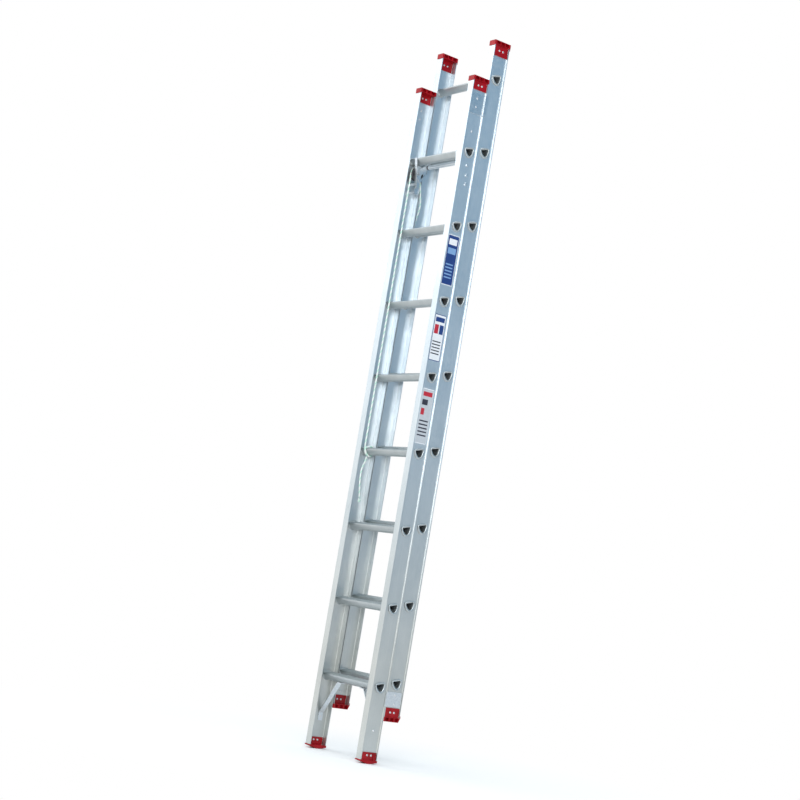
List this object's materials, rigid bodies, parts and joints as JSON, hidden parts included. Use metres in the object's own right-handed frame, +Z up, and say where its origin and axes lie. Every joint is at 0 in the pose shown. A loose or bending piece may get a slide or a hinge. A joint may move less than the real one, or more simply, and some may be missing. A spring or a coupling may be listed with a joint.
{
  "type": "extension ladder",
  "caption": "Two-section aluminium extension ladder with red end caps, ribbed rungs, rung locks and a green-white hauling rope.",
  "frame": {"origin": "on the ground midway between the two feet and midway through the closed ladder's depth", "axes": "+Z up along the stiles, +X to the climber's right, +Y from the climbing side to the wall"},
  "size_m": [0.391, 0.154, 2.8613],
  "materials": {
    "stile_aluminium": "satin mill finish",
    "rung_aluminium": "satin, ribbed tread",
    "red_plastic": "moulded, slightly glossy",
    "zinc_steel": "zinc plated",
    "dark_steel": "blackened",
    "black_plastic": "matte",
    "rope_cord": "braided cord, pale green and white"
  },
  "bodies": {
    "base": {"base_brace_left": "zinc_steel", "base_brace_right": "zinc_steel", "base_cap_left": "red_plastic", "base_cap_right": "red_plastic", "base_foot_left": "red_plastic", "base_foot_right": "red_plastic", "base_guide_left": "zinc_steel", "base_guide_right": "zinc_steel", "base_rung_1": "rung_aluminium", "base_rung_2": "rung_aluminium", "base_rung_3": "rung_aluminium", "base_rung_4": "rung_aluminium", "base_rung_5": "rung_aluminium", "base_rung_6": "rung_aluminium", "base_rung_7": "rung_aluminium", "base_rung_8": "rung_aluminium", "base_stile_left": "stile_aluminium", "base_stile_right": "stile_aluminium", "lock_axle_left": "zinc_steel", "lock_axle_right": "zinc_steel", "lock_bolt_lower_left": "zinc_steel", "lock_bolt_lower_right": "zinc_steel", "lock_bolt_upper_left": "zinc_steel", "lock_bolt_upper_right": "zinc_steel", "lock_bracket_left": "zinc_steel", "lock_bracket_right": "zinc_steel", "lock_spring_left": "zinc_steel", "lock_spring_right": "zinc_steel", "rope_end_knot": "rope_cord", "rope_fly_run": "rope_cord", "rope_hand_line": "rope_cord", "rope_hitch": "rope_cord", "rope_over_wheel": "rope_cord", "rope_tail": "rope_cord"},
    "fly": {"fly_cap_bottom_left": "red_plastic", "fly_cap_bottom_right": "red_plastic", "fly_cap_top_left": "red_plastic", "fly_cap_top_right": "red_plastic", "fly_guide_left": "zinc_steel", "fly_guide_right": "zinc_steel", "fly_rung_1": "rung_aluminium", "fly_rung_2": "rung_aluminium", "fly_rung_3": "rung_aluminium", "fly_rung_4": "rung_aluminium", "fly_rung_5": "rung_aluminium", "fly_rung_6": "rung_aluminium", "fly_rung_7": "rung_aluminium", "fly_rung_8": "rung_aluminium", "fly_rung_9": "rung_aluminium", "fly_stile_left": "stile_aluminium", "fly_stile_right": "stile_aluminium", "rope_anchor": "zinc_steel"},
    "latch": {"lock_bar": "stile_aluminium", "lock_hook_left": "zinc_steel", "lock_hook_right": "zinc_steel", "lock_disc_left": "dark_steel", "lock_disc_right": "dark_steel"},
    "pulley": {"pulley_wheel": "black_plastic"}
  },
  "joints": [
    {"name": "fly_slide", "type": "slide", "parent": "base", "child": "fly", "axis": [0, 0, 1], "range_m": [0, 1.8], "deforming": ["rope_fly_run"]},
    {"name": "latch_swing", "type": "hinge", "parent": "base", "child": "latch", "pos_m": [0, -0.0355, 2.334], "axis": [1, 0, 0], "range_deg": [-25, 0], "stiffness_Nm_per_rad": 0.5, "springref_deg": 20.05},
    {"name": "pulley_spin", "type": "hinge", "parent": "base", "child": "pulley", "pos_m": [-0.1516, -0.0355, 2.334], "axis": [1, 0, 0], "continuous": true}
  ],
  "couplings": [
    {"joint": "pulley_spin", "follows": "fly_slide", "rad_per_m": 38.462}
  ]
}
